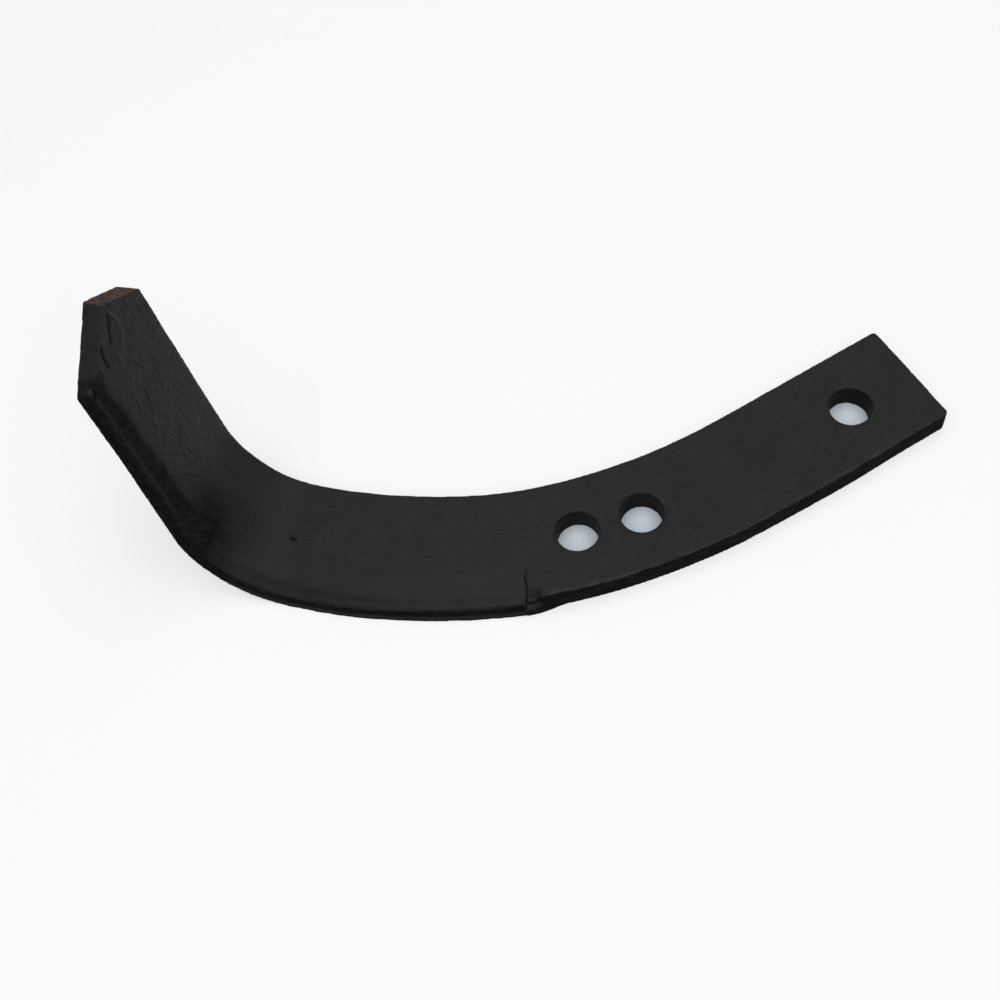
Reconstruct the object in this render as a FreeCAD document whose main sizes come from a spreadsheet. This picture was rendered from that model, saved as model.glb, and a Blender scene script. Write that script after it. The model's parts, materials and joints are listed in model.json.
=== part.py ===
import FreeCAD, Part
import os
import Sketcher
from FreeCAD import Placement, Rotation, Vector

# Rotary tiller blade: one forged bar. The flat shank is bolted to the rotor flange, the
# cutting part is bevelled along its outer edge, and the wing is folded up at the far end.
# Frame: the origin is on the axis of the end bolt hole, on the flat back face. Z points
# from the back to the bevelled face, the fold runs along Y and the wing lies towards -X.

os.makedirs("parts", exist_ok=True)
doc = FreeCAD.newDocument("tiller_blade")

# Lengths in millimetres, angles in degrees.
driving_sizes = (
    ("plate_thickness", 8.0, "forged bar, from the shank to the fold"),
    ("shank_width", 35.0, "width of the bar"),
    ("shank_angle", 35.0, "straight shank to X"),
    ("end_margin", 22.0, "end bolt hole to the square end"),
    ("straight_length", 36.0, "end bolt hole to where the bar starts to curve"),
    ("curve_radius", 173.0, "centre line of the curved bar"),
    ("bolt_hole", 12.5, "clearance hole for a 12 mm bolt"),
    ("far_hole_distance", 90.0, "end hole to the farther hole of the pair"),
    ("pair_spacing", 19.33, "between the two holes of the pair"),
    ("rim_round", 0.6, "rolled rim of a punched hole"),
    ("end_round", 1.2, "corners of the square end"),
    ("step_distance", 91.0, "end hole to the step where the bevel starts, along X"),
    ("edge_overhang", 1.7, "cutting edge drawn out past the bar's outer side"),
    ("edge_radius", 172.0, "curve of the cutting edge"),
    ("edge_slope", 10.4, "cutting edge to X where the fold starts"),
    ("edge_flare", 0.9, "foot of the cutting edge stands out past its lip"),
    ("edge_at_step", 5.0, "thickness left at the cutting edge, at the step"),
    ("edge_at_fold", 4.2, "the same where the fold starts"),
    ("edge_at_tip", 3.2, "the same at the tip"),
    ("bevel_at_step", 11.5, "width of the bevel at the step"),
    ("bevel_at_fold", 5.6, "the same where the fold starts"),
    ("bevel_at_tip", 4.4, "the same at the tip"),
    ("fold_distance", 159.0, "end hole to the start of the fold, along X"),
    ("fold_radius", 25.0, "inner radius of the fold"),
    ("fold_angle", 72.0, "how far the wing is folded up"),
    ("spine_slope", 18.5, "back of the wing to the wing's own length"),
    ("wing_edge_slope", 16.6, "cutting edge of the wing to the wing's own length"),
    ("wing_length", 58.4, "end of the fold to the point"),
    ("tip_thickness", 5.2, "the wing is drawn thinner towards the point"),
    ("point_offset", 18.6, "back of the wing to the point, across the wing"),
    ("end_angle", 16.0, "end face of the wing to the fold axis"),
    ("corner_angle", 40.0, "cropped corner to the fold axis"),
    ("corner_lean_angle", 20.0, "cropped corner leans outwards to the back"),
)

sheet = doc.addObject("Spreadsheet::Sheet", "sizes")
for row, (alias, value, note) in enumerate(driving_sizes, start=1):
    sheet.set(f"A{row}", alias)
    sheet.set(f"B{row}", str(value))
    sheet.set(f"C{row}", note)
    sheet.setAlias(f"B{row}", alias)
doc.recompute()

body = doc.addObject("PartDesign::Body", "tiller_blade")
body.Label = "tiller_blade"
body.Placement = Placement(Vector(0, 0, 0), Rotation())
planes = {plane.Role: plane for plane in body.Origin.OriginFeatures}
same = 1e-6  # millimetres: two points or lengths this close are the same one

# Expressions that more than one feature uses.
thickness = "sizes.plate_thickness"
half_width = "(sizes.shank_width / 2)"
inner_radius = f"(sizes.curve_radius - {half_width})"
outer_radius = f"(sizes.curve_radius + {half_width})"
run_x = "cos(sizes.shank_angle)"
run_y = "sin(sizes.shank_angle)"
curve_x = f"(-sizes.straight_length * {run_x} - sizes.curve_radius * {run_y})"
curve_y = f"(-sizes.straight_length * {run_y} + sizes.curve_radius * {run_x})"
edge_curve_x = "(-sizes.fold_distance + sizes.edge_radius * sin(sizes.edge_slope))"
fold_length = f"((sizes.fold_radius + {thickness} / 2) * sizes.fold_angle * pi / 180)"
thinning = f"({thickness} - sizes.tip_thickness)"


def arc_drop(radius, centre, x):
    return f"sqrt(({radius})^2 - ({x} - {centre})^2)"


def bar_side(radius, x):
    """Y of the bar's curved side of this radius, at x."""
    return f"({curve_y} - {arc_drop(radius, curve_x, x)})"


def cutting_edge(x):
    """Y of the foot of the cutting edge between the step and the fold, at x."""
    at_step = f"{bar_side(outer_radius, '-sizes.step_distance')} - sizes.edge_overhang"
    step_drop = arc_drop("sizes.edge_radius", edge_curve_x, "-sizes.step_distance")
    return f"({at_step} + {step_drop} - {arc_drop('sizes.edge_radius', edge_curve_x, x)})"


def blend(start, end, share):
    return f"({start} + ({end} - {start}) * {share})"


def new_sketch(name, plane, offset=Placement()):
    sketch = body.newObject("Sketcher::SketchObject", name)
    sketch.AttachmentSupport = [(planes[plane], "")]
    sketch.MapMode = "FlatFace"
    sketch.AttachmentOffset = offset
    return sketch


def turned_about(axis):
    """A placement that holds this axis, so that an expression can set its angle."""
    one_degree = 1  # a rotation of nothing would lose its axis
    return Placement(Vector(), Rotation(axis, one_degree))


def bind(sketch, name, constraint, expression):
    sketch.renameConstraint(sketch.addConstraint(constraint), name)
    sketch.setExpression(f"Constraints.{name}", expression)


def closed_outline(sketch, corners, arcs=None):
    """Joins the corners, each a pair of expressions; arcs gives a radius for some sides."""
    arcs = arcs or {}
    points = [Vector(*(sketch.evalExpression(value) for value in corner)) for corner in corners]
    count = len(points)
    for side, start in enumerate(points):
        end = points[(side + 1) % count]
        if side in arcs:
            radius = sketch.evalExpression(arcs[side])
            chord = end - start
            rise = radius - (radius**2 - (chord.Length / 2) ** 2) ** 0.5
            bulge = Vector(-chord.y, chord.x).normalize() * rise
            if bulge.y > 0:
                bulge = -bulge  # the bar bows towards -Y on both sides
            sketch.addGeometry(Part.Arc(start, (start + end) / 2 + bulge, end))
        else:
            sketch.addGeometry(Part.LineSegment(start, end))
    for side in range(count):
        following = (side + 1) % count
        # an arc may run the other way round, so its nearer end is the one that meets
        last = 2 if sketch.getPoint(side, 2).distanceToPoint(points[following]) < same else 1
        first = 1 if sketch.getPoint(following, 1).distanceToPoint(points[following]) < same else 2
        sketch.addConstraint(Sketcher.Constraint("Coincident", side, last, following, first))
        x, y = corners[following]
        at = points[following]
        bind(sketch, f"x{following}", Sketcher.Constraint("DistanceX", -1, 1, side, last, at.x), x)
        bind(sketch, f"y{following}", Sketcher.Constraint("DistanceY", -1, 1, side, last, at.y), y)
    for side, radius in arcs.items():
        value = sketch.evalExpression(radius)
        bind(sketch, f"radius{side}", Sketcher.Constraint("Radius", side, value), radius)


def shank_point(along, across):
    """A point of the straight shank: along it from the end hole, and across it."""
    x = f"(-({along}) * {run_x} - ({across}) * {run_y})"
    y = f"(-({along}) * {run_y} + ({across}) * {run_x})"
    return x, y


def add_bar():
    outline = new_sketch("bar_outline", "XY_Plane")
    at_step = "-sizes.step_distance"
    corners = (
        shank_point("-sizes.end_margin", half_width),
        shank_point("sizes.straight_length", half_width),
        (at_step, bar_side(inner_radius, at_step)),
        (at_step, bar_side(outer_radius, at_step)),
        shank_point("sizes.straight_length", f"-{half_width}"),
        shank_point("-sizes.end_margin", f"-{half_width}"),
    )
    closed_outline(outline, corners, arcs={1: inner_radius, 3: outer_radius})
    pad = body.newObject("PartDesign::Pad", "bar")
    pad.Profile = outline
    pad.setExpression("Length", thickness)


def add_section(name, x, z, turned, corners):
    """Cross-section sketch standing on the back face at x, z, turned up round the fold."""
    section = new_sketch(name, "YZ_Plane", turned_about(Vector(1, 0, 0)))
    section.setExpression("AttachmentOffset.Base.z", x)
    section.setExpression("AttachmentOffset.Base.y", z)
    section.setExpression("AttachmentOffset.Rotation.Angle", turned)
    closed_outline(section, corners)
    return section


def blade_corners(spine, edge, bevel, lip, flare="0", back="0"):
    """Corners of a cross-section, in Y and in height over the back face."""
    return (
        (spine, thickness),
        (f"{edge} + {bevel}", thickness),
        (f"{edge} + {flare}", f"{back} + {lip}"),
        (edge, back),
        (spine, back),
    )


def join_sections(name, sections, ruled=False):
    loft = body.newObject("PartDesign::AdditiveLoft", name)
    loft.Profile = sections[0]
    loft.Sections = sections[1:]
    loft.Ruled = ruled


def shares(steps):
    return [step / steps for step in range(steps + 1)]


# Flat and bevelled, from the step to the fold.
def add_cutting_part(steps=3):
    sections = []
    for number, share in enumerate(shares(steps)):
        x = blend("-sizes.step_distance", "-sizes.fold_distance", share)
        bevel = blend("sizes.bevel_at_step", "sizes.bevel_at_fold", share)
        lip = blend("sizes.edge_at_step", "sizes.edge_at_fold", share)
        spine = bar_side(inner_radius, x)
        corners = blade_corners(spine, cutting_edge(x), bevel, lip, flare="sizes.edge_flare")
        sections.append(add_section(f"cutting_section_{number}", x, "0", "0", corners))
    join_sections("cutting_part", sections)


# Both long sides turn steadily through the fold, from the curve of the bar to the wing's slope.
fold_start = "-sizes.fold_distance"
spine_start = bar_side(inner_radius, fold_start)
spine_start_slope = f"(({curve_x} - {fold_start}) / {arc_drop(inner_radius, curve_x, fold_start)})"
edge_start = cutting_edge(fold_start)
edge_start_slope = "tan(sizes.edge_slope)"


def side_in_fold(start, start_slope, end_slope, share):
    turn = f"({end_slope} - {start_slope}) * {share**2 / 2}"
    return f"({start} + {fold_length} * ({start_slope} * {share} + {turn}))"


def spine_in_fold(share):
    return side_in_fold(spine_start, spine_start_slope, "tan(sizes.spine_slope)", share)


def edge_in_fold(share):
    return side_in_fold(edge_start, edge_start_slope, "tan(sizes.wing_edge_slope)", share)


def back_of_fold(turned):
    """X and Z of the fold's outer surface where it has turned this far."""
    x = f"({fold_start} - (sizes.fold_radius + {thickness}) * sin({turned}))"
    z = f"((sizes.fold_radius + {thickness}) * (1 - cos({turned})))"
    return x, z


def add_fold(steps=5):
    sections = []
    for number, share in enumerate(shares(steps)):
        turned = f"(sizes.fold_angle * {share})"
        x, z = back_of_fold(turned)
        flare = f"sizes.edge_flare * {1 - share}"
        spine, edge = spine_in_fold(share), edge_in_fold(share)
        corners = blade_corners(spine, edge, "sizes.bevel_at_fold", "sizes.edge_at_fold", flare)
        sections.append(add_section(f"fold_section_{number}", x, z, turned, corners))
    join_sections("fold", sections)


def add_wing(overrun=1.1):
    """The wing runs a little past its point, and the crops trim it."""
    foot_x, foot_z = back_of_fold("sizes.fold_angle")
    sections = []
    for number, share in enumerate((0, overrun)):
        along = f"sizes.wing_length * {share}"
        x = f"{foot_x} - {along} * cos(sizes.fold_angle)"
        z = f"{foot_z} + {along} * sin(sizes.fold_angle)"
        corners = blade_corners(
            f"{spine_in_fold(1)} + {along} * tan(sizes.spine_slope)",
            f"({edge_in_fold(1)} + {along} * tan(sizes.wing_edge_slope))",
            blend("sizes.bevel_at_fold", "sizes.bevel_at_tip", share),
            blend("sizes.edge_at_fold", "sizes.edge_at_tip", share),
            back=f"{thinning} * {share}",
        )
        sections.append(add_section(f"wing_section_{number}", x, z, "sizes.fold_angle", corners))
    join_sections("wing", sections, ruled=True)


def crop_wing(name, slope, lean):
    """Trims the wing along a line through its point, seen square to its inner face."""
    sketch = new_sketch(f"{name}_outline", "XY_Plane", turned_about(Vector(0, 1, 0)))
    inner_x = f"{fold_start} - sizes.fold_radius * sin(sizes.fold_angle)"
    inner_z = f"{thickness} + sizes.fold_radius * (1 - cos(sizes.fold_angle))"
    sketch.setExpression("AttachmentOffset.Base.x", inner_x)
    sketch.setExpression("AttachmentOffset.Base.z", inner_z)
    sketch.setExpression("AttachmentOffset.Rotation.Angle", "sizes.fold_angle")
    spine_at_point = f"{spine_in_fold(1)} + sizes.wing_length * tan(sizes.spine_slope)"
    point_y = f"({spine_at_point} - sizes.point_offset)"
    # the trimming outline reaches past the wing on every side
    reach = "(sizes.shank_width * 1.5)"
    clear = f"-sizes.wing_length - {reach} * 2"
    corners = (
        (f"-sizes.wing_length + {reach} * {slope}", f"{point_y} - {reach}"),
        (f"-sizes.wing_length - {reach} * {slope}", f"{point_y} + {reach}"),
        (clear, f"{point_y} + {reach}"),
        (clear, f"{point_y} - {reach}"),
    )
    closed_outline(sketch, corners)
    pocket = body.newObject("PartDesign::Pocket", name)
    pocket.Profile = sketch
    pocket.setExpression("Length", f"{thickness} * 1.5")  # and out of its back
    pocket.setExpression("TaperAngle", lean)


def add_circle(sketch, name, centre, radius, expression, construction=False):
    circle = sketch.addGeometry(Part.Circle(centre, Vector(0, 0, 1), radius), construction)
    bind(sketch, name, Sketcher.Constraint("Radius", circle, radius), expression)
    return circle


def add_bolt_holes():
    """One hole on the origin, and a pair on the bar's centre line."""
    sketch = new_sketch("bolt_holes", "XY_Plane")
    hole_radius = sketch.evalExpression("sizes.bolt_hole / 2")
    end_hole = add_circle(sketch, "end_hole", Vector(), hole_radius, "sizes.bolt_hole / 2")
    sketch.addConstraint(Sketcher.Constraint("Coincident", end_hole, 3, -1, 1))
    centre = Vector(sketch.evalExpression(curve_x), sketch.evalExpression(curve_y))
    radius = sketch.evalExpression("sizes.curve_radius")
    centre_line = add_circle(sketch, "centre_line", centre, radius, "sizes.curve_radius", True)
    for axis, at, expression in (("X", centre.x, curve_x), ("Y", centre.y, curve_y)):
        place = Sketcher.Constraint(f"Distance{axis}", -1, 1, centre_line, 3, at)
        bind(sketch, f"curve_{axis.lower()}", place, expression)
    far_away = "sizes.far_hole_distance"
    pair = []
    for name, along in (("far_hole", far_away), ("near_hole", f"({far_away} - sizes.pair_spacing)")):
        guess_x = sketch.evalExpression(f"-{along} * {run_x}")
        guess_y = sketch.evalExpression(bar_side("sizes.curve_radius", str(guess_x)))
        guess = Vector(guess_x, guess_y)
        hole = add_circle(sketch, name, guess, hole_radius, "sizes.bolt_hole / 2")
        sketch.addConstraint(Sketcher.Constraint("PointOnObject", hole, 3, centre_line))
        pair.append(hole)
    away = sketch.evalExpression(far_away)
    bind(sketch, "far_hole_distance", Sketcher.Constraint("Distance", -1, 1, pair[0], 3, away), far_away)
    spacing = sketch.evalExpression("sizes.pair_spacing")
    apart = Sketcher.Constraint("Distance", pair[0], 3, pair[1], 3, spacing)
    bind(sketch, "pair_spacing", apart, "sizes.pair_spacing")
    pocket = body.newObject("PartDesign::Pocket", "bolt_hole_punch")
    pocket.Profile = sketch
    pocket.Type = "ThroughAll"
    pocket.Reversed = True


def round_edges(name, base, edges, radius):
    fillet = body.newObject("PartDesign::Fillet", name)
    fillet.Base = (base, edges)
    fillet.setExpression("Radius", radius)


def edges_where(feature, test):
    return [f"Edge{number}" for number, edge in enumerate(feature.Shape.Edges, start=1) if test(edge)]


def add_rounds():
    top = sheet.get("plate_thickness")
    hole_radius = sheet.get("bolt_hole") / 2
    half_diagonal = (sheet.get("end_margin") ** 2 + (sheet.get("shank_width") / 2) ** 2) ** 0.5

    def is_rim(edge):
        curve = edge.Curve
        on_top = abs(edge.BoundBox.ZMin - top) < same and abs(edge.BoundBox.ZMax - top) < same
        return isinstance(curve, Part.Circle) and abs(curve.Radius - hole_radius) < same and on_top

    rims = edges_where(body.Tip, is_rim)
    round_edges("rolled_rims", body.Tip, rims, "sizes.rim_round")
    doc.recompute()

    def is_end_corner(edge):
        box = edge.BoundBox
        upright = box.ZLength > top / 2 and box.XLength + box.YLength < same
        return upright and Vector(box.XMin, box.YMin).distanceToPoint(Vector()) < half_diagonal + same

    corners = edges_where(body.Tip, is_end_corner)
    round_edges("end_corners", body.Tip, corners, "sizes.end_round")


def report_failures():
    for item in doc.Objects:
        if "Invalid" in item.State or "Error" in item.State:
            raise RuntimeError(f"{item.Name}: {item.State}")
    shape = body.Shape
    if shape.isNull() or not shape.isValid() or len(shape.Solids) != 1:
        raise RuntimeError("tiller_blade has no single valid solid")


add_bar()
add_cutting_part()
add_fold()
add_wing()
crop_wing("end_crop", "tan(sizes.end_angle)", "0")
crop_wing("corner_crop", "-tan(sizes.corner_angle)", "-sizes.corner_lean_angle")
doc.recompute()
uncut = body.Shape.Volume
add_bolt_holes()
doc.recompute()
if body.Shape.Volume >= uncut:
    raise RuntimeError("the bolt holes cut nothing")
add_rounds()
doc.recompute()
report_failures()
body.Shape.exportStep(f"parts/{body.Label}.step")
print(f"tiller_blade: {body.Shape.Volume:.0f} cubic mm")
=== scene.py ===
import json
import math

import bpy
import numpy as np
from mathutils import Matrix, Vector


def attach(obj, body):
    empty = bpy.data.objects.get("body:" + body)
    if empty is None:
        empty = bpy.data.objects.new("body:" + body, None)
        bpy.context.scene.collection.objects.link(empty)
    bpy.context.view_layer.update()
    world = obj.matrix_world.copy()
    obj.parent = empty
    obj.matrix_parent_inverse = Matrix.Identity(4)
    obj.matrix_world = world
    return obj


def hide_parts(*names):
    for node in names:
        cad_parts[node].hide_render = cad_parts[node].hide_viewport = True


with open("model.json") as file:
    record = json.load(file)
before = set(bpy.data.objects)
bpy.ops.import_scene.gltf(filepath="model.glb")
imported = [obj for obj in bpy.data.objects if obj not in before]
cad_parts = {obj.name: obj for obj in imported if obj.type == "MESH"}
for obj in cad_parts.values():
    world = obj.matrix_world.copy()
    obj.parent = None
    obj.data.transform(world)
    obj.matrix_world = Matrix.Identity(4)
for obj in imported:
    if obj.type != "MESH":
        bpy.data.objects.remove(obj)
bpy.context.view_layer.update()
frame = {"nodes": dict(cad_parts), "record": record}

scene = bpy.context.scene
mm = 0.001
# where the bolt holes are, in mm
boltHoles = [
    (mount["pos_m"][0] / mm, mount["pos_m"][1] / mm)
    for mount in frame["record"]["mounts"]
    if mount["kind"] == "bore"
]


def deselectAll():
    bpy.ops.object.select_all(action="DESELECT")


def makeActive(piece):
    deselectAll()
    piece.select_set(True)
    bpy.context.view_layer.objects.active = piece


def applyModifiers(piece):
    makeActive(piece)
    for modifier in list(piece.modifiers):
        bpy.ops.object.modifier_apply(modifier=modifier.name)


# a 50 mm lens over the cutting side, turned a little and rolled
cameraSet = {
    "target": (-102.57, -30.78, 0.0),  # mm, on the plane of the back face
    "distance": 415.34,
    "elevation": 60.55,  # degrees
    "turn": 14.62,
    "roll": -11.13,
    "lens": 50,
}


def placeCamera():
    data = bpy.data.cameras.new("mainCamera")
    data.lens = cameraSet["lens"]
    data.sensor_width = 36
    data.clip_start = 0.01
    data.clip_end = 50
    camera = bpy.data.objects.new("mainCamera", data)
    scene.collection.objects.link(camera)
    look = (
        Matrix.Rotation(math.radians(cameraSet["turn"]), 4, "Z")
        @ Matrix.Rotation(math.radians(90 - cameraSet["elevation"]), 4, "X")
        @ Matrix.Rotation(math.radians(cameraSet["roll"]), 4, "Z")
    )
    target = Vector(cameraSet["target"]) * mm
    back = look.to_3x3() @ Vector((0, 0, 1))
    camera.matrix_world = Matrix.Translation(target + back * cameraSet["distance"] * mm) @ look
    scene.camera = camera


placeCamera()
print("camera placed")


def newMaterial(name):
    material = bpy.data.materials.new(name)
    material.use_nodes = True
    material.node_tree.nodes.clear()
    return material, material.node_tree


def addNode(tree, kind, **settings):
    # a setting goes to the node's socket of that name, or else to the node itself
    node = tree.nodes.new(kind)
    for key, value in settings.items():
        if key in node.inputs:
            node.inputs[key].default_value = value
        else:
            setattr(node, key, value)
    return node


def combine(tree, operation, first, second):
    # a Math node whose two inputs are sockets or numbers
    node = addNode(tree, "ShaderNodeMath", operation=operation)
    for place, source in enumerate((first, second)):
        if isinstance(source, (int, float)):
            node.inputs[place].default_value = source
        else:
            tree.links.new(source, node.inputs[place])
    return node.outputs[0]


def mixColour(tree, share, first, second):
    node = addNode(tree, "ShaderNodeMix", data_type="RGBA")
    for place, source in ((0, share), (6, first), (7, second)):
        if isinstance(source, (tuple, float)):
            node.inputs[place].default_value = source
        else:
            tree.links.new(source, node.inputs[place])
    return node.outputs[2]


def seenRays(tree):
    # 1 where the camera, a gloss or a glass looks, and 0 for the light that falls on the blade
    path = addNode(tree, "ShaderNodeLightPath")
    seen = combine(tree, "MAXIMUM", path.outputs["Is Camera Ray"], path.outputs["Is Glossy Ray"])
    return combine(tree, "MAXIMUM", seen, path.outputs["Is Transmission Ray"])


floorSet = {
    "size": 6.0,  # metres
    "drop": 0.02,  # mm below the back face
    "middle": -0.1,  # metres along X, under the middle of the blade
    "colour": (0.97, 0.955, 0.935, 1),
    "paintedShadeUnderHoles": (0.66, 0.71, 0.735, 1),  # painted shade: the floor's colour darkened under the bolt holes
    "shadeRadii": (7.0, 9.0),  # mm, where that shade starts to fade and where it ends
    "glow": 0.6,  # share of the white that a shadow can't darken
    "fades": (0.45, 1.6),  # metres from the blade over which the floor turns all white
}


def holeShade(tree):
    # painted shade: 1 under each bolt hole, 0 elsewhere
    place = addNode(tree, "ShaderNodeNewGeometry").outputs["Position"]
    inner, outer = floorSet["shadeRadii"]
    shade = 0.0
    for x, y in boltHoles:
        away = addNode(tree, "ShaderNodeVectorMath", operation="DISTANCE")
        away.inputs[1].default_value = (x * mm, y * mm, -floorSet["drop"] * mm)
        tree.links.new(place, away.inputs[0])
        near = addNode(tree, "ShaderNodeMapRange")
        near.inputs["From Min"].default_value = outer * mm
        near.inputs["From Max"].default_value = inner * mm
        tree.links.new(away.outputs["Value"], near.inputs["Value"])
        shade = combine(tree, "MAXIMUM", near.outputs["Result"], shade)
    return shade


def farWhite(tree):
    # the share of plain white, which grows away from the blade
    place = addNode(tree, "ShaderNodeNewGeometry").outputs["Position"]
    away = addNode(tree, "ShaderNodeVectorMath", operation="DISTANCE")
    away.inputs[1].default_value = (floorSet["middle"], 0, 0)
    tree.links.new(place, away.inputs[0])
    near, far = floorSet["fades"]
    share = addNode(tree, "ShaderNodeMapRange")
    share.inputs["From Min"].default_value = near
    share.inputs["From Max"].default_value = far
    share.inputs["To Min"].default_value = floorSet["glow"]
    tree.links.new(away.outputs["Value"], share.inputs["Value"])
    return share.outputs["Result"]


def makeFloor():
    deselectAll()
    middle = (floorSet["middle"], 0, -floorSet["drop"] * mm)
    bpy.ops.mesh.primitive_plane_add(size=floorSet["size"], location=middle)
    floor = bpy.context.object
    floor.name = "studioFloor"
    material, tree = newMaterial("paleFloor")
    # painted shade: the floor's colour is darker under the bolt holes, and the white glow is held back there
    shade = holeShade(tree)
    colour = mixColour(tree, shade, floorSet["colour"], floorSet["paintedShadeUnderHoles"])
    diffuse = addNode(tree, "ShaderNodeBsdfDiffuse")
    white = addNode(tree, "ShaderNodeEmission", Color=(1, 1, 1, 1), Strength=1.0)
    blend = addNode(tree, "ShaderNodeMixShader")
    output = addNode(tree, "ShaderNodeOutputMaterial")
    link = tree.links.new
    link(colour, diffuse.inputs["Color"])
    glow = combine(tree, "MULTIPLY", seenRays(tree), farWhite(tree))
    link(combine(tree, "MULTIPLY", glow, combine(tree, "SUBTRACT", 1.0, shade)), blend.inputs[0])
    link(diffuse.outputs[0], blend.inputs[1])
    link(white.outputs[0], blend.inputs[2])
    link(blend.outputs[0], output.inputs["Surface"])
    floor.data.materials.append(material)


worldSet = {"fill": 0.15, "colour": (0.95, 0.97, 1.0, 1)}


def makeWorld():
    world = bpy.data.worlds.new("studio")
    world.use_nodes = True
    scene.world = world
    tree = world.node_tree
    tree.nodes.clear()
    fill = addNode(tree, "ShaderNodeBackground", Color=worldSet["colour"], Strength=worldSet["fill"])
    white = addNode(tree, "ShaderNodeBackground", Color=(1, 1, 1, 1), Strength=1.0)
    blend = addNode(tree, "ShaderNodeMixShader")
    output = addNode(tree, "ShaderNodeOutputWorld")
    link = tree.links.new
    link(seenRays(tree), blend.inputs[0])
    link(fill.outputs[0], blend.inputs[1])
    link(white.outputs[0], blend.inputs[2])
    link(blend.outputs[0], output.inputs["Surface"])


lampColour = (0.94, 0.96, 1.0)
# the way towards each lamp, its distance and size in metres, and how bright its face looks
lampSet = {
    "overhead": {"towards": (0.02, -0.20, 1.0), "distance": 1.1, "size": 1.6, "face": 1.9},
    "behind": {"towards": (0.12, 0.47, 0.87), "distance": 1.2, "size": 0.4, "face": 3.0},
}


def addLamp(name, setting):
    data = bpy.data.lights.new(name, "AREA")
    data.shape = "SQUARE"
    data.size = setting["size"]
    data.color = lampColour
    data.energy = setting["face"] * math.pi * setting["size"] ** 2  # watts for that face
    lamp = bpy.data.objects.new(name, data)
    scene.collection.objects.link(lamp)
    towards = Vector(setting["towards"]).normalized()
    target = Vector(cameraSet["target"]) * mm
    lamp.location = target + towards * setting["distance"]
    lamp.rotation_euler = towards.to_track_quat("Z", "Y").to_euler()


makeFloor()
makeWorld()
for lampName, setting in lampSet.items():
    addLamp(lampName, setting)
print("floor, world and lamps made")


# the blade laid flat: u runs along the bar, v across it, h up from the back face, in mm
bladeSet = {
    "thickness": 8.0,
    "shankAngle": 35.0,  # degrees
    "straight": 36.0,
    "curveRadius": 173.0,
    "stepAt": -91.0,
    "foldStart": -159.0,
    "innerRadius": 25.0,
    "foldAngle": 72.0,
    "edgeAtStep": -67.36,
    "edgeRadius": 172.0,
    "edgeSlope": 10.4,
    "wingEdgeSlope": 16.6,
    "wingLength": 58.4,
    "flatDrift": 0.22,  # how the bar's run leans to u past the end of its curve
    "backThinning": 2.8,
    # at the step, where the fold starts and at the tip
    "lipHeights": (5.0, 4.2, 3.2),
    "bevelWidths": (11.5, 5.6, 4.4),
    "holeRadius": 6.25,
}
foldTurn = math.radians(bladeSet["foldAngle"])
outerRadius = bladeSet["innerRadius"] + bladeSet["thickness"]
neutralRadius = bladeSet["innerRadius"] + bladeSet["thickness"] / 2
foldLength = neutralRadius * foldTurn
wingStart = bladeSet["foldStart"] - foldLength


def ramp(value, low, high):
    share = np.clip((value - low) / (high - low), 0, 1)
    return share * share * (3 - 2 * share)


def hump(value, centre, width):
    return np.exp(-(((value - centre) / width) ** 2))


def ripple(where, size, seed):
    # smooth random numbers from -1 to 1, a new one every size mm
    numbers = np.random.default_rng(seed).uniform(-1, 1, 1001)
    place = where / size + 500
    low = np.floor(place).astype(int)
    share = ramp(place - low, 0, 1)
    return numbers[low] * (1 - share) + numbers[low + 1] * share


def unrolled(points):
    # u, v and h of each point, and how far the fold has turned there
    start = bladeSet["foldStart"]
    x, y, z = points.T
    angle = np.clip(np.arctan2(start - x, outerRadius - z), 0, None)
    angle[x > start] = 0
    angle[(z >= outerRadius) & (x <= start)] = foldTurn
    turned = np.minimum(angle, foldTurn)
    footX = start - outerRadius * math.sin(foldTurn)
    footZ = outerRadius * (1 - math.cos(foldTurn))
    along = (footX - x) * math.cos(foldTurn) + (z - footZ) * math.sin(foldTurn)
    over = (x - footX) * math.sin(foldTurn) + (z - footZ) * math.cos(foldTurn)
    u = np.where(x > start, x, start - neutralRadius * turned)
    h = np.where(x > start, z, outerRadius - np.hypot(start - x, outerRadius - z))
    inWing = angle >= foldTurn
    return np.where(inWing, wingStart - along, u), y.copy(), np.where(inWing, over, h), turned


def moveAlong(points, turned, du, dv, dh):
    points[:, 0] += du * np.cos(turned) + dh * np.sin(turned)
    points[:, 1] += dv
    points[:, 2] += dh * np.cos(turned) - du * np.sin(turned)


def fromCentreLine(u, v):
    # how far a place on the flat part lies to the cutting side of the bar's centre line
    angle = math.radians(bladeSet["shankAngle"])
    straight, radius = bladeSet["straight"], bladeSet["curveRadius"]
    along = -u * math.cos(angle) - v * math.sin(angle)
    centreX = -straight * math.cos(angle) - radius * math.sin(angle)
    centreY = -straight * math.sin(angle) + radius * math.cos(angle)
    besideLine = u * math.sin(angle) - v * math.cos(angle)
    return np.where(along < straight, besideLine, np.hypot(u - centreX, v - centreY) - radius)


def edgeLine(u):
    # v of the cutting edge's foot, from the step to the tip
    start, radius = bladeSet["foldStart"], bladeSet["edgeRadius"]
    slope = math.tan(math.radians(bladeSet["edgeSlope"]))
    wingSlope = math.tan(math.radians(bladeSet["wingEdgeSlope"]))
    centre = start + radius * math.sin(math.radians(bladeSet["edgeSlope"]))
    drop = math.sqrt(radius**2 - (bladeSet["stepAt"] - centre) ** 2)
    flat = np.clip(u, start, bladeSet["stepAt"])
    v = bladeSet["edgeAtStep"] + drop - np.sqrt(radius**2 - (flat - centre) ** 2)
    share = np.clip((start - u) / foldLength, 0, 1)
    v = v + foldLength * (slope * share + (wingSlope - slope) * share**2 / 2)
    return v + np.clip(wingStart - u, 0, None) * wingSlope


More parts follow.
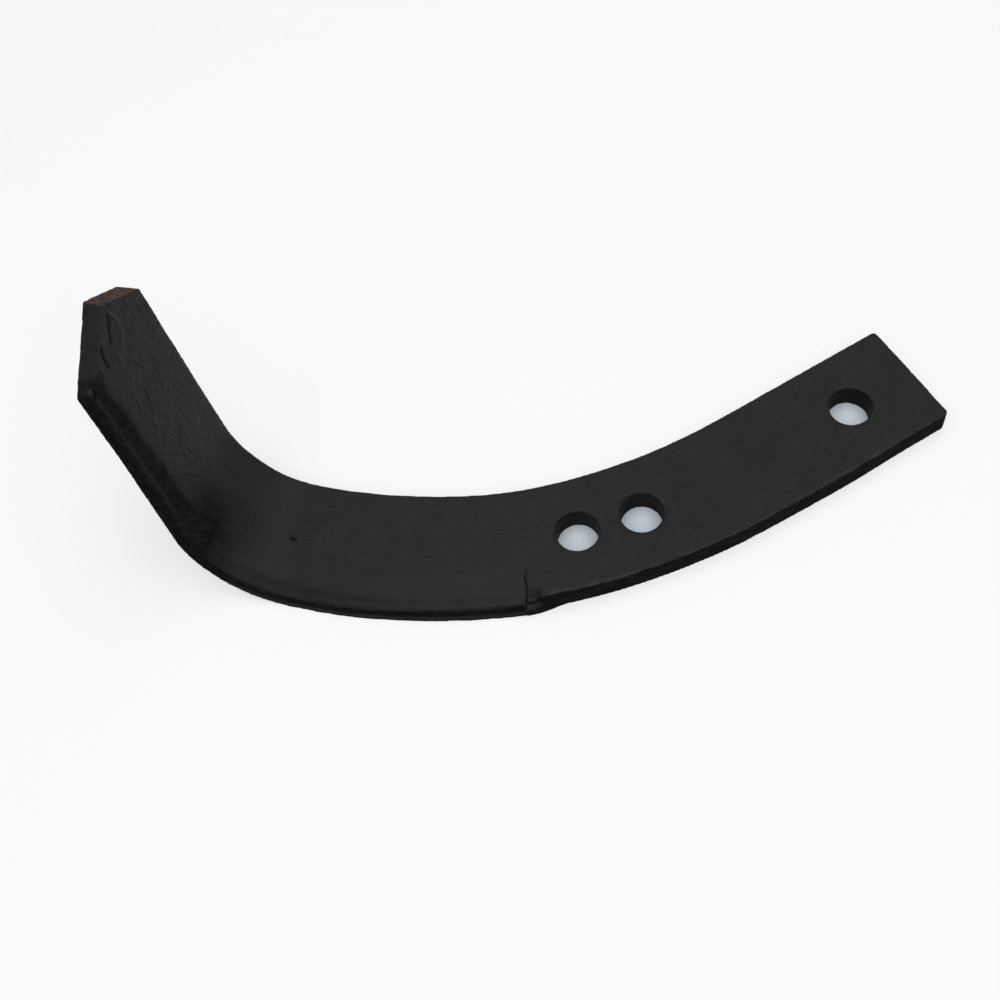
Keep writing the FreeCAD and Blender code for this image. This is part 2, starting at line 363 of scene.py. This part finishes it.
def alongCut(u, atStep, atFold, atTip):
    # a value that goes evenly from the step to the fold, and from the fold's end to the tip
    start, step = bladeSet["foldStart"], bladeSet["stepAt"]
    inCut = np.clip((step - u) / (step - start), 0, 1)
    inWing = np.clip((wingStart - u) / bladeSet["wingLength"], 0, 1.1)
    return atStep + (atFold - atStep) * inCut + (atTip - atFold) * inWing


def backHeight(u):
    return alongCut(u, 0, 0, bladeSet["backThinning"])


def lipHeight(u):
    return backHeight(u) + alongCut(u, *bladeSet["lipHeights"])


def copyOfNode(node, name):
    piece = bpy.data.objects.new(name, node.data.copy())
    scene.collection.objects.link(piece)
    piece.data.materials.clear()
    makeActive(piece)
    bpy.ops.object.mode_set(mode="EDIT")
    bpy.ops.mesh.select_all(action="SELECT")
    bpy.ops.mesh.remove_doubles(threshold=0.002 * mm)
    bpy.ops.object.mode_set(mode="OBJECT")
    return piece


def getPoints(piece):
    points = np.zeros(len(piece.data.vertices) * 3)
    piece.data.vertices.foreach_get("co", points)
    return points.reshape(-1, 3) / mm


def getNormals(piece):
    normals = np.zeros(len(piece.data.vertices) * 3)
    piece.data.vertices.foreach_get("normal", normals)
    return normals.reshape(-1, 3)


def setPoints(piece, points):
    piece.data.vertices.foreach_set("co", (points * mm).ravel())
    piece.data.update()


forgingSet = {
    "remeshScale": 0.67,  # share of the remesh box that the blade fills, so faces of about 0.7 mm
    "rounding": 2,  # passes that round every edge off
    "warp": (14.0, 0.12),  # size and depth of each kind of unevenness, in mm
    "dents": (5.0, 0.10),
    "peel": (2.2, 0.05),
}


def remeshBlade(piece):
    even = piece.modifiers.new("evenFaces", "REMESH")
    even.mode = "SHARP"
    even.octree_depth = 9
    even.scale = forgingSet["remeshScale"]
    even.sharpness = 1.0
    even.use_remove_disconnected = True
    rounded = piece.modifiers.new("roundedEdges", "SMOOTH")
    rounded.factor = 0.5
    rounded.iterations = forgingSet["rounding"]
    applyModifiers(piece)


def refineBlade(piece):
    # smaller faces along the lips, round the step and where the wing is scarred
    mesh = piece.data
    centres = np.zeros(len(mesh.polygons) * 3)
    mesh.polygons.foreach_get("center", centres)
    u, v, h, turned = unrolled(centres.reshape(-1, 3) / mm)
    step = bladeSet["stepAt"]
    inside = v - edgeLine(u)
    beside = fromCentreLine(u, v)
    fine = (u < step) & (inside < 2.6) & (h < lipHeight(u) + 1.5)
    fine |= (u > step) & (beside > 15.6) & (h > 5.0)
    fine |= (np.abs(u - step + 1) < 6) & (v < -53)
    fine |= (u < -226) & (h > 5.0)
    fine |= (u < -244) & (v < -40)
    makeActive(piece)
    bpy.ops.object.mode_set(mode="EDIT")
    bpy.ops.mesh.select_mode(type="FACE")
    bpy.ops.mesh.select_all(action="DESELECT")
    bpy.ops.object.mode_set(mode="OBJECT")
    mesh.polygons.foreach_set("select", fine)
    bpy.ops.object.mode_set(mode="EDIT")
    bpy.ops.mesh.subdivide(number_cuts=1)
    bpy.ops.object.mode_set(mode="OBJECT")


def hammerBlade(piece):
    # forging scale and hammer marks, coarse to fine
    for name in ("warp", "dents", "peel"):
        size, depth = forgingSet[name]
        texture = bpy.data.textures.new(name, "CLOUDS")
        texture.noise_scale = size * mm
        texture.noise_depth = 1
        push = piece.modifiers.new(name, "DISPLACE")
        push.texture = texture
        push.texture_coords = "LOCAL"
        push.mid_level = 0.5
        push.strength = depth * 2 * mm
    applyModifiers(piece)


holeSet = {
    "dishDepth": 0.22,
    "dishWidth": 2.4,
    "narrowing": 0.25,  # at the back
    "narrowed": (0.4, 2.0),  # mm outside the hole where the narrowing fades
}


def punchHoles(points):
    # the punch dragged the face down round each hole, and left the hole narrower at the back
    u, v, h, turned = unrolled(points)
    holeRadius = bladeSet["holeRadius"]
    first, last = holeSet["narrowed"]
    for centreU, centreV in boltHoles:
        radius = np.hypot(u - centreU, v - centreV)
        near = 1 - ramp(radius, holeRadius, holeRadius + holeSet["dishWidth"])
        down = holeSet["dishDepth"] * near * ramp(h, 4, 7)
        closing = holeSet["narrowing"] * (1 - ramp(h, 0.2, 3.5))
        closing = closing * (1 - ramp(radius, holeRadius + first, holeRadius + last))
        share = closing / np.maximum(radius, 1)
        moveAlong(points, turned, -(u - centreU) * share, -(v - centreV) * share, -down)


trimSet = {
    # how the forged outline leaves the plain curves: where along u, how long, and how far in v
    "spine": ((-98.0, 26.0, -0.75), (-182.0, 16.0, 0.55)),
    "outer": ((-82.0, 24.0, -0.70), (-2.0, 15.0, -0.65)),
    "flatEnd": -150.0,  # u beyond which the bar's centre line no longer holds
    "fadeFromLine": (8.5, 16.5),  # mm from the centre line over which the sides start to move
    "wingSpine": -26.6,  # v of the spine there
    "tipThicker": 0.7,
}


def trimOutline(points):
    # the bar was rolled and sheared by hand, so its outline wanders from the plain curves
    u, v, h, turned = unrolled(points)
    beside = fromCentreLine(u, v)
    middle = (trimSet["wingSpine"] + edgeLine(u)) / 2
    onFlat = u > trimSet["flatEnd"]
    first, last = trimSet["fadeFromLine"]
    onSpine = np.where(onFlat, ramp(-beside, first, last), ramp(v - middle, 4, 18))
    onOuter = np.where(onFlat, ramp(beside, first, last), 0)
    dv = 0 * u
    for centre, length, amount in trimSet["spine"]:
        dv += amount * hump(u, centre, length) * onSpine
    for centre, length, amount in trimSet["outer"]:
        dv += amount * hump(u, centre, length) * onOuter
    thicker = trimSet["tipThicker"] * ramp(-u, 222, 250) * (1 - ramp(h, 2.0, 7.5))
    moveAlong(points, turned, 0 * u, dv, -thicker)


stepSet = {
    "lines": (-92.6, -91.3),  # where the riser stands, u, at its inner and outer end
    "lean": 0.35,  # how far the riser's foot lies in front of its top
    "reach": 7.0,  # mm to each side that the step's own shape takes to fade
    "flare": 2.35,  # how far the foot of the bar stands out beside the step
    "flareLength": 16.0,
    "tornDepth": 2.9,
    "sideSlope": 0.21,  # of both outer sides at the step
    "halfWidth": 17.5,  # of the bar
}


def shapeStep(points):
    u, v, h, turned = unrolled(points)
    step = bladeSet["stepAt"]
    # the riser's line wanders, and it leans
    innerLine, outerLine = stepSet["lines"]
    riser = innerLine + (outerLine - innerLine) * ramp(-v, 55, 65)
    wander = riser - step + 0.22 * ripple(v, 2.2, 4)
    near = (1 - ramp(np.abs(u - step), 0.7, stepSet["reach"])) * (1 - ramp(v, -53, -49))
    lean = stepSet["lean"] * (1 - ramp(h, 5.2, 7.7))
    du = (wander - lean) * near * ramp(h, 0.6, 4.0)
    # the corner between the step and the sheared side is torn off in a rough slope
    besideStep = fromCentreLine(u, v)
    corner = ramp(u, step - 0.4, step + 0.2) * (1 - ramp(u, step + 1.8, step + 4.2))
    torn = corner * ramp(besideStep, 14.6, 17.6) * ramp(h, 2.5, 7.5) * stepSet["tornDepth"]
    torn = torn * (1 + 0.25 * ripple(u, 0.9, 5) + 0.2 * ripple(v, 0.8, 6))
    # the foot of the bar swells out to meet the cut edge
    side = v + (besideStep - stepSet["halfWidth"])
    flare = stepSet["flare"] * (1 - ramp(u, step, step + stepSet["flareLength"]))
    flare = flare * ramp(u, step - 1.5, step - 0.3)
    foot = np.clip(v - (side - flare), 0, flare) * (1 - ramp(h, 2.0, 6.5))
    foot = foot * ramp(besideStep, 13.0, 17.2)
    moveAlong(points, turned, du, stepSet["sideSlope"] * du - foot, -torn)


cutSet = {
    # the cut side from its foot to the lip: height, and how far in from the foot
    "heights": (0.0, 0.2, 1.5, 3.2, 4.3, 5.0),
    "insets": (0.0, 0.05, 0.95, 0.95, 1.25, 1.6),
    "plainInset": 0.9,
    "creaseDepth": 0.16,
}


def shapeCutEdge(points):
    u, v, h, turned = unrolled(points)
    back, lip = backHeight(u), lipHeight(u)
    inside = v - edgeLine(u)
    level = np.clip((h - back) / (lip - back), 0, 1)
    inCut = 1 - ramp(u, bladeSet["stepAt"] - 0.9, bladeSet["stepAt"] + 0.1)
    inCut = inCut * (1 - ramp(inside, 1.8, 4.5))
    inCut = inCut * (1 - ramp(-u, 168, 196))
    wanted = np.interp(level * 5, cutSet["heights"], cutSet["insets"])
    shift = (wanted - cutSet["plainInset"] * level) * inCut
    # the lip is uneven, with small nicks in it
    atLip = ramp(level, 0.75, 0.95) * inCut
    uneven = 0.16 * ripple(u, 2.6, 11) + 0.10 * ripple(u, 0.9, 12)
    moveAlong(points, turned, 0 * u, shift + uneven * atLip, -0.35 * np.abs(uneven) * atLip)


def softenCrease(points):
    # the bevel meets the face in a soft, wandering line
    u, v, h, turned = unrolled(points)
    width = alongCut(u, *bladeSet["bevelWidths"])
    away = v - edgeLine(u) - width + 0.5 * ripple(u, 6, 21)
    onTop = ramp(h, 6, 7.4) * (1 - ramp(u, bladeSet["stepAt"] - 2, bladeSet["stepAt"]))
    moveAlong(points, turned, 0 * u, 0 * u, -cutSet["creaseDepth"] * hump(away, 0, 1.8) * onTop)


def roughenShankLip(points):
    # the sheared side's upper edge, from the step to the square end
    u, v, h, turned = unrolled(points)
    step = bladeSet["stepAt"]
    atLip = ramp(fromCentreLine(u, v), 15.6, 17.3) * ramp(h, 5.4, 7.4) * ramp(u, step + 1, step + 4)
    uneven = 0.20 * ripple(u, 3.4, 31) + 0.14 * ripple(u, 1.2, 32)
    nicks = np.clip(ripple(u, 2.1, 33) - 0.55, 0, 1)
    inwards = 0.6 * (uneven + nicks)
    down = 0.5 * (0.25 + uneven * 0.5 + nicks)
    moveAlong(points, turned, 0 * u, inwards * atLip, -down * atLip)


# marks on the wing and the cutting part: the line in u and v, its half width and height in mm,
# where a groove is below 0, and how far the paint is rubbed off
markSet = (
    (((-250.7, -21.5), (-249.3, -22.8), (-248.6, -24.9), (-247.5, -26.5), (-246.7, -28.0)), 0.42, -0.40, 0),
    (((-250.1, -20.4), (-247.6, -20.2), (-245.5, -21.2), (-243.4, -22.4), (-242.9, -24.8)), 0.34, 0.26, 0.55),
    (((-245.6, -29.2), (-243.3, -29.2), (-241.6, -29.6)), 0.36, 0.18, 0.20),
    (((-249.6, -31.4), (-247.9, -33.2), (-245.5, -34.4)), 0.42, -0.38, 0),
    (((-241.2, -11.8), (-240.0, -12.0)), 0.36, -0.25, 0),
    (((-239.1, -31.0), (-235.7, -32.1)), 0.36, 0.16, 0.15),
    (((-234.7, -34.8), (-232.1, -36.0), (-230.2, -37.5)), 0.36, 0.18, 0.20),
    (((-230.7, -32.3), (-227.2, -34.6)), 0.40, -0.22, 0),
    (((-229.0, -31.8), (-226.3, -34.3)), 0.34, 0.14, 0.10),
    (((-224.9, -37.3), (-222.2, -39.6), (-221.2, -41.2)), 0.40, 0.18, 0.20),
    (((-224.3, -25.4), (-223.3, -26.8)), 0.36, 0.18, 0.20),
    (((-225.8, -26.8), (-224.1, -27.6)), 0.36, -0.20, 0),
    (((-231.1, -20.5), (-229.5, -21.2)), 0.34, 0.14, 0.10),
    (((-217.0, -26.0), (-215.9, -26.4)), 0.36, 0.14, 0.10),
    (((-249.2, -41.0), (-247.2, -42.3), (-245.0, -43.6)), 0.60, -0.35, 0),
    (((-248.0, -38.0), (-246.6, -38.8)), 0.50, -0.30, 0),
    (((-229.6, -51.6), (-227.4, -51.8)), 0.42, 0.22, 0.25),
    (((-224.3, -47.6), (-220.5, -46.6)), 0.45, 0.20, 0.12),
    (((-216.7, -47.4), (-214.6, -48.8), (-212.8, -50.3)), 0.42, 0.22, 0.15),
    (((-206.9, -50.5), (-204.2, -51.9)), 0.45, 0.22, 0.20),
    (((-162.2, -49.8), (-161.0, -50.4)), 0.70, -0.35, 0),
    (((-146.8, -57.3), (-146.2, -57.0)), 0.60, 0.16, 0),
    (((-109.9, -69.0), (-108.9, -67.6)), 0.90, -0.20, 0),
    (((-137.6, -61.2), (-135.8, -62.0)), 0.60, 0.14, 0),
    (((-173.4, -65.2), (-171.0, -66.4)), 0.60, -0.20, 0),
    (((-165.0, -67.4), (-162.6, -67.8)), 0.60, -0.20, 0),
)


def distanceToLine(u, v, line):
    nearest = np.full(len(u), 1e9)
    for (startU, startV), (endU, endV) in zip(line, line[1:]):
        alongU, alongV = endU - startU, endV - startV
        share = ((u - startU) * alongU + (v - startV) * alongV) / (alongU**2 + alongV**2)
        share = np.clip(share, 0, 1)
        away = np.hypot(u - startU - share * alongU, v - startV - share * alongV)
        nearest = np.minimum(nearest, away)
    return nearest


def scratchBlade(points):
    u, v, h, turned = unrolled(points)
    height = 0 * u
    for line, halfWidth, depth, rubbed in markSet:
        away = distanceToLine(u, v, line) + 0.12 * ripple(u + 2 * v, 0.9, 51)
        height += depth * hump(away, 0, halfWidth)
    moveAlong(points, turned, 0 * u, 0 * u, height * ramp(h, 3.6, 5.0))


def addValue(piece, name, values):
    attribute = piece.data.attributes.new(name, "FLOAT", "POINT")
    attribute.data.foreach_set("value", values.astype(np.float32))


def layFlat(piece):
    # metres along and across the bar, so that the finish follows its curve, the fold and the wing
    u, v, h, turned = unrolled(getPoints(piece))
    angle = math.radians(bladeSet["shankAngle"])
    straight, radius = bladeSet["straight"], bladeSet["curveRadius"]
    centreX = -straight * math.cos(angle) - radius * math.sin(angle)
    centreY = -straight * math.sin(angle) + radius * math.cos(angle)
    along = -u * math.cos(angle) - v * math.sin(angle)
    swept = np.arctan2(centreX - u, centreY - v) + angle
    along = np.where(along > straight, straight + radius * swept, along)
    along = np.where(u < centreX, straight + radius * angle + centreX - u, along)
    drift = bladeSet["flatDrift"] * (u - centreX)
    across = np.where(u < centreX, centreY - v - radius + drift, fromCentreLine(u, v))
    flat = np.stack([along, across, h], 1) * mm
    attribute = piece.data.attributes.new("laidFlat", "FLOAT_VECTOR", "POINT")
    attribute.data.foreach_set("vector", flat.astype(np.float32).ravel())


wearSet = {
    "lipRubAndHighlight": 0.30,
    "tipCorner": (-247.4, -43.9, 0.8, 1.6),  # u, v, size and strength of the bright knock
    "endFacing": (-0.96, -0.279),  # the wing's cut end, along u and v
    "endCoated": 0.62,
    "holeDull": 0.55,
    "bevelShade": 0.78,
    "bendShade": 0.90,
}


def markWear(piece):
    # the paint rubbed thin, with a painted highlight along the shank's lip; dull bare scale without gloss,
    # which also paints shade on the sides, in grooves, on the wing's bevel and in the bend; and how deep the
    # wrinkles are
    u, v, h, turned = unrolled(getPoints(piece))
    normals = getNormals(piece)
    alongH = normals[:, 0] * np.sin(turned) + normals[:, 2] * np.cos(turned)
    alongU = normals[:, 0] * np.cos(turned) - normals[:, 2] * np.sin(turned)
    step = bladeSet["stepAt"]
    beside = fromCentreLine(u, v)
    inside = v - edgeLine(u)
    # rubbed marks, and rubbed paint with a painted highlight along the shank's upper lip
    wornAndHighlight = wearSet["lipRubAndHighlight"] * ramp(beside, 16.6, 17.3) * ramp(h, 6.9, 7.7)
    wornAndHighlight = wornAndHighlight * ramp(u, step + 3, step + 5) * (0.5 + 0.5 * ripple(u, 2.2, 41))
    # the sheared sides take the rough dark scale, which also paints shade on them by how they face
    scaleAndShade = 1 - ramp(np.abs(alongH), 0.30, 0.62)
    for line, halfWidth, depth, rubbed in markSet:
        onLine = hump(distanceToLine(u, v, line), 0, halfWidth) * ramp(h, 4, 5)
        wornAndHighlight = np.maximum(wornAndHighlight, rubbed * onLine)
        # painted shade in the deeper grooves
        if depth < -0.3:
            scaleAndShade = np.maximum(scaleAndShade, onLine)
    # the tip's lower corner is knocked bright
    cornerU, cornerV, size, strength = wearSet["tipCorner"]
    knocked = strength * hump(np.hypot(u - cornerU, v - cornerV), 0, size)
    wornAndHighlight = np.maximum(wornAndHighlight, knocked * ramp(h, 5, 6.5))
    # the cut end of the wing is smoother than the sheared sides, and the hole walls catch paint
    endU, endV = wearSet["endFacing"]
    atEnd = ramp(alongU * endU + normals[:, 1] * endV, 0.55, 0.8) * ramp(-u, 240, 244)
    scaleAndShade = scaleAndShade * (1 - wearSet["endCoated"] * atEnd)
    for centreU, centreV in boltHoles:
        inHole = np.hypot(u - centreU, v - centreV) < bladeSet["holeRadius"] + 1.2
        scaleAndShade[inHole] *= wearSet["holeDull"]
    # painted shade: the wing's bevel and the bend below it are darkened with the dark scale surface
    width = alongCut(u, *bladeSet["bevelWidths"])
    onBevel = 1 - ramp(inside - width + 0.8 * ripple(u, 3, 42), -1.0, 2.2)
    onBevel = onBevel * ramp(-u, 178, 198)
    onLip = hump(inside, 1.4, 0.5) * ramp(-u, 196, 206) * ramp(h, 4, 5)
    inBend = hump(u, -191, 8) * (1 - ramp(v, -54, -38))
    scaleAndShade = np.maximum(scaleAndShade, wearSet["bevelShade"] * onBevel * (1 - 0.8 * onLip))
    scaleAndShade = np.maximum(scaleAndShade, wearSet["bendShade"] * inBend)
    wrinkled = 0.40 + 0.60 * ramp(u, -110, -60) + 0.35 * ramp(-u, 190, 210)
    addValue(piece, "wornAndHighlight", np.clip(wornAndHighlight, 0, 1.6))
    addValue(piece, "scaleAndShade", np.clip(scaleAndShade, 0, 1))
    addValue(piece, "wrinkled", np.clip(wrinkled, 0, 1))


blade = copyOfNode(frame["nodes"]["tiller_blade"], "forgedBlade")
remeshBlade(blade)
refineBlade(blade)
print("blade remeshed:", len(blade.data.polygons), "faces")
bladePoints = getPoints(blade)
trimOutline(bladePoints)
softenCrease(bladePoints)
shapeCutEdge(bladePoints)
shapeStep(bladePoints)
roughenShankLip(bladePoints)
punchHoles(bladePoints)
scratchBlade(bladePoints)
setPoints(blade, bladePoints)
hammerBlade(blade)
layFlat(blade)
markWear(blade)
makeActive(blade)
bpy.ops.object.shade_smooth()
print("blade shaped:", len(blade.data.vertices), "points")


# the gloss black coat; the dull dark scale on sheared and forged sides, which also paints shade on those
# sides, in grooves, on the wing's bevel and in the bend; and the bare cut corner
coatSet = {
    "thin": (0.0125, 0.0125, 0.0130, 1),
    "thick": (0.0080, 0.0080, 0.0085, 1),
    # lighter rubbed paint, also used as a painted highlight on the shank's lip
    "wornAndHighlight": (0.060, 0.057, 0.053, 1),
    "roughness": (0.38, 0.54),
    "specular": 0.11,
    "wrinkleSize": 0.95,  # mm across
    "wrinkleStretch": 2.6,  # times longer along the bar
    "wrinkleDepth": 0.55,
    "grainSize": 0.42,
    "grainDepth": 0.09,
    "cloudSize": 9.0,
}
scaleAndShadeSet = {
    "dark": (0.0040, 0.0040, 0.0043, 1),
    "light": (0.017, 0.0165, 0.016, 1),
    "roughness": (0.85, 1.0),
    "specular": 0.03,
    "streakSize": 1.2,
    "streakStretch": 3.5,
    "streakDepth": 0.20,
}
rustSet = {
    "dark": (0.020, 0.015, 0.012, 1),
    "light": (0.080, 0.054, 0.038, 1),
    "roughness": (0.8, 0.95),
    "specular": 0.08,
    "flakeSize": 1.6,
    "flakeDepth": 0.20,
    "facing": (-0.767, 0.642, 0.72),  # the cropped corner, along u and v, and how closely
    "from": -238.0,  # u past which it lies
}


def alongBar(tree, stretch):
    # the coordinates that follow the bar, with the pattern drawn out along it
    place = addNode(tree, "ShaderNodeAttribute", attribute_name="laidFlat")
    mapping = addNode(tree, "ShaderNodeMapping", Scale=(1 / stretch, 1, 1))
    tree.links.new(place.outputs["Vector"], mapping.inputs["Vector"])
    return mapping.outputs["Vector"]


def noiseOf(tree, vector, size, detail=2.0, distortion=0.0):
    noise = addNode(tree, "ShaderNodeTexNoise", Scale=1 / (size * mm), Detail=detail, Distortion=distortion)
    tree.links.new(vector, noise.inputs["Vector"])
    return noise.outputs["Fac"]


def between(tree, value, low, high, toLow=0.0, toHigh=1.0):
    node = addNode(tree, "ShaderNodeMapRange")
    tree.links.new(value, node.inputs["Value"])
    node.inputs["From Min"].default_value = low
    node.inputs["From Max"].default_value = high
    node.inputs["To Min"].default_value = toLow
    node.inputs["To Max"].default_value = toHigh
    return node.outputs["Result"]


def bumpOf(tree, height, distance, under=None):
    node = addNode(tree, "ShaderNodeBump", Strength=1.0, Distance=distance * mm)
    tree.links.new(height, node.inputs["Height"])
    if under is not None:
        tree.links.new(under, node.inputs["Normal"])
    return node.outputs["Normal"]


def surfaceOf(tree, specular, colour, roughness, normal):
    surface = addNode(tree, "ShaderNodeBsdfPrincipled")
    surface.inputs["Specular IOR Level"].default_value = specular
    tree.links.new(colour, surface.inputs["Base Color"])
    tree.links.new(roughness, surface.inputs["Roughness"])
    tree.links.new(normal, surface.inputs["Normal"])
    return surface.outputs[0]


def valueOf(tree, name):
    return addNode(tree, "ShaderNodeAttribute", attribute_name=name).outputs["Fac"]


def glossCoat(tree, vector):
    drawnOut = alongBar(tree, coatSet["wrinkleStretch"])
    wrinkles = noiseOf(tree, drawnOut, coatSet["wrinkleSize"], 2.0, 0.7)
    grain = noiseOf(tree, vector, coatSet["grainSize"], 2.0)
    clouds = noiseOf(tree, vector, coatSet["cloudSize"], 3.0, 0.4)
    colour = mixColour(tree, between(tree, clouds, 0.35, 0.65), coatSet["thick"], coatSet["thin"])
    # rubbed paint and the painted lip highlight lighten the coat
    colour = mixColour(tree, valueOf(tree, "wornAndHighlight"), colour, coatSet["wornAndHighlight"])
    roughness = between(tree, clouds, 0.3, 0.7, *coatSet["roughness"])
    height = combine(tree, "MULTIPLY", wrinkles, valueOf(tree, "wrinkled"))
    normal = bumpOf(tree, height, coatSet["wrinkleDepth"])
    normal = bumpOf(tree, grain, coatSet["grainDepth"], normal)
    return surfaceOf(tree, coatSet["specular"], colour, roughness, normal)


def scaleAndShadeSurface(tree):
    # dark rough scale, also used as painted shade
    drawnOut = alongBar(tree, scaleAndShadeSet["streakStretch"])
    streaks = noiseOf(tree, drawnOut, scaleAndShadeSet["streakSize"], 3.0, 0.6)
    share = between(tree, streaks, 0.45, 0.75)
    colour = mixColour(tree, share, scaleAndShadeSet["dark"], scaleAndShadeSet["light"])
    roughness = between(tree, streaks, 0.3, 0.7, *scaleAndShadeSet["roughness"])
    normal = bumpOf(tree, streaks, scaleAndShadeSet["streakDepth"])
    return surfaceOf(tree, scaleAndShadeSet["specular"], colour, roughness, normal)


def blackFinish():
    material, tree = newMaterial("blackFinish")
    place = addNode(tree, "ShaderNodeTexCoord")
    blend = addNode(tree, "ShaderNodeMixShader")
    output = addNode(tree, "ShaderNodeOutputMaterial")
    # the dark scale and the painted shade are mixed in by their mask
    tree.links.new(valueOf(tree, "scaleAndShade"), blend.inputs[0])
    tree.links.new(glossCoat(tree, place.outputs["Object"]), blend.inputs[1])
    tree.links.new(scaleAndShadeSurface(tree), blend.inputs[2])
    tree.links.new(blend.outputs[0], output.inputs["Surface"])
    return material


def rustedCut():
    material, tree = newMaterial("rustedCut")
    place = addNode(tree, "ShaderNodeTexCoord")
    flakes = noiseOf(tree, place.outputs["Object"], rustSet["flakeSize"], 4.0, 0.6)
    share = between(tree, flakes, 0.34, 0.62)
    colour = mixColour(tree, share, rustSet["dark"], rustSet["light"])
    roughness = between(tree, flakes, 0.3, 0.7, *rustSet["roughness"])
    output = addNode(tree, "ShaderNodeOutputMaterial")
    normal = bumpOf(tree, flakes, rustSet["flakeDepth"])
    surface = surfaceOf(tree, rustSet["specular"], colour, roughness, normal)
    tree.links.new(surface, output.inputs["Surface"])
    return material


def giveFinishes(piece):
    mesh = piece.data
    mesh.materials.append(blackFinish())
    mesh.materials.append(rustedCut())
    centres = np.zeros(len(mesh.polygons) * 3)
    normals = np.zeros(len(mesh.polygons) * 3)
    mesh.polygons.foreach_get("center", centres)
    mesh.polygons.foreach_get("normal", normals)
    normals = normals.reshape(-1, 3)
    u, v, h, turned = unrolled(centres.reshape(-1, 3) / mm)
    alongU = normals[:, 0] * np.cos(turned) - normals[:, 2] * np.sin(turned)
    facingU, facingV, closely = rustSet["facing"]
    facing = alongU * facingU + normals[:, 1] * facingV
    rusted = (u < rustSet["from"]) & (facing > closely)
    mesh.polygons.foreach_set("material_index", rusted.astype(int))
    mesh.update()


giveFinishes(blade)
print("finishes given")

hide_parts("tiller_blade")
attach(blade, "root")
scene.view_settings.view_transform = "Standard"
